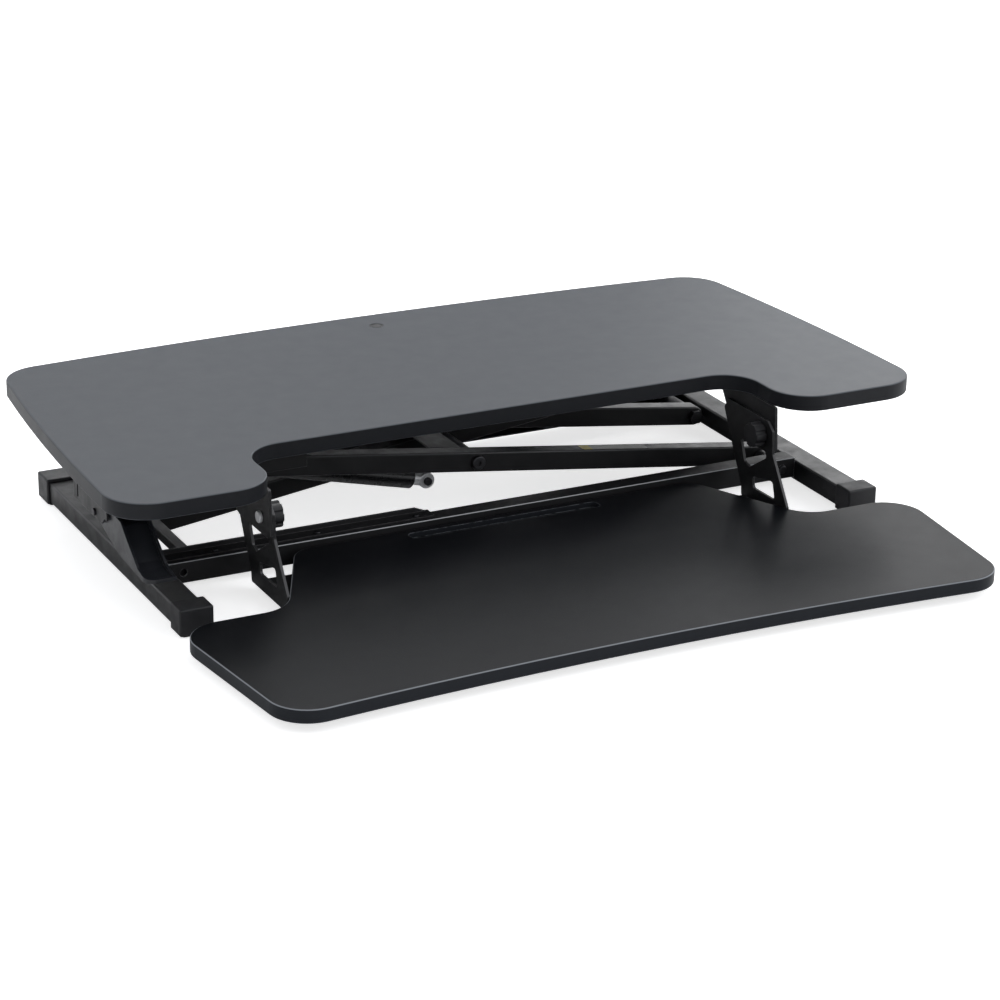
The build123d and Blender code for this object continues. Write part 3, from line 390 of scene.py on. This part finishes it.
def floor_paint():
    s = Shader("floor_paint")
    tint = s.patches((0.86, 0.86, 0.865), (0.89, 0.89, 0.89), s.noise(1.5, 3.0), 0.3, 0.7)
    s.finish(tint, 0.7, spec=0.2)
    seen = s.nodes.new("ShaderNodeLightPath").outputs["Is Camera Ray"]
    s.put(s.bsdf.inputs["Emission Color"], (1.0, 1.0, 1.0))
    s.put(s.bsdf.inputs["Emission Strength"], s.math("MULTIPLY", seen, FLOOR_GLOW))
    s.bump((s.noise(60, 3.0), 0.05, 0.0004))
    return s.mat


def floor():
    """A pale sweep: flat under the object and curving up far behind it."""
    profile = [(-FLOOR_HALF, 0.0), (SWEEP_START, 0.0)]
    for step in range(1, SWEEP_STEPS + 1):
        turn = math.pi / 2 * step / SWEEP_STEPS
        profile.append((SWEEP_START + SWEEP_R * math.sin(turn), SWEEP_R - SWEEP_R * math.cos(turn)))
    profile.append((SWEEP_START + SWEEP_R, SWEEP_TOP))
    form = bmesh.new()
    rows = [[form.verts.new((x, y, z)) for x in (-FLOOR_HALF, FLOOR_HALF)] for y, z in profile]
    for near, far in zip(rows, rows[1:]):
        form.faces.new((near[0], near[1], far[1], far[0]))
    mesh = bpy.data.meshes.new("floor")
    form.to_mesh(mesh)
    form.free()
    for face in mesh.polygons:
        face.use_smooth = True
    mesh.materials.append(floor_paint())
    add_object("floor", mesh)


def world(dim, bright):
    """Soft surroundings that grow brighter from the left to the right."""
    surroundings = bpy.data.worlds.new("studio")
    bpy.context.scene.world = surroundings
    surroundings.use_nodes = True
    nodes = surroundings.node_tree.nodes
    links = surroundings.node_tree.links
    where = nodes.new("ShaderNodeTexCoord")
    split = nodes.new("ShaderNodeSeparateXYZ")
    ramp = nodes.new("ShaderNodeMapRange")
    ramp.interpolation_type = "SMOOTHSTEP"
    ramp.inputs["From Min"].default_value = -0.7
    ramp.inputs["From Max"].default_value = 0.9
    ramp.inputs["To Min"].default_value = dim
    ramp.inputs["To Max"].default_value = bright
    back = nodes["Background"]
    back.inputs["Color"].default_value = (0.95, 0.97, 1.0, 1.0)
    links.new(where.outputs["Generated"], split.inputs[0])
    links.new(split.outputs["X"], ramp.inputs["Value"])
    links.new(ramp.outputs["Result"], back.inputs["Strength"])


# name, place, point it faces, width and height, power in watts
SOFTBOXES = [
    ("fill_left", (-2.6, 0.6, 2.2), (0, 0.1, 0.1), (2.4, 2.0), 12),
    ("top_back", (1.3, 2.0, 3.0), (0, 0.1, 0.1), (3.0, 1.6), 66),
    ("sheen_right", (2.6, 2.3, 1.3), (0.1, 0.0, 0.1), (1.7, 1.5), 14),
    ("front_right", (2.8, -1.6, 1.8), (0, -0.1, 0.1), (2.0, 1.6), 18),
]


def softbox(name, place, target, size, power):
    light = bpy.data.lights.new(name, "AREA")
    light.shape = "RECTANGLE"
    light.size, light.size_y = size
    light.energy = power
    obj = add_object(name, light)
    obj.location = place
    aim = Vector(target) - Vector(place)
    obj.rotation_euler = aim.to_track_quat("-Z", "Y").to_euler()


# ---------------------------------------------------------------- camera
CAMERA_PLACE = (-1.41097, -2.73563, 1.24202)
CAMERA_TURN = math.radians(27.25)     # round to the left of the front
CAMERA_TILT = math.radians(21.25)     # looking down
CAMERA_ROLL = math.radians(0.915)
CAMERA_LENS_MM = 109.29
CAMERA_SENSOR_MM = 36.0
CAMERA_REACH = 60.0


def camera():
    """The viewing angle: about 27 degrees round to the left and 21 degrees above."""
    level = math.cos(CAMERA_TILT)
    right = Vector((math.cos(CAMERA_TURN), -math.sin(CAMERA_TURN), 0.0))
    ahead = Vector((math.sin(CAMERA_TURN) * level, math.cos(CAMERA_TURN) * level,
                    -math.sin(CAMERA_TILT)))
    up = right.cross(ahead)
    side = right * math.cos(CAMERA_ROLL) + up * math.sin(CAMERA_ROLL)
    top = up * math.cos(CAMERA_ROLL) - right * math.sin(CAMERA_ROLL)
    data = bpy.data.cameras.new("camera")
    data.lens = CAMERA_LENS_MM
    data.sensor_width = CAMERA_SENSOR_MM
    data.clip_end = CAMERA_REACH
    obj = add_object("camera", data)
    columns = Matrix((side, top, -ahead)).transposed()
    obj.matrix_world = Matrix.Translation(CAMERA_PLACE) @ columns.to_4x4()
    bpy.context.scene.camera = obj


dress_nodes()
arm_sticker()
floor()
world(dim=0.45, bright=1.05)
for box in SOFTBOXES:
    softbox(*box)
bpy.context.scene.view_settings.view_transform = "Standard"
camera()
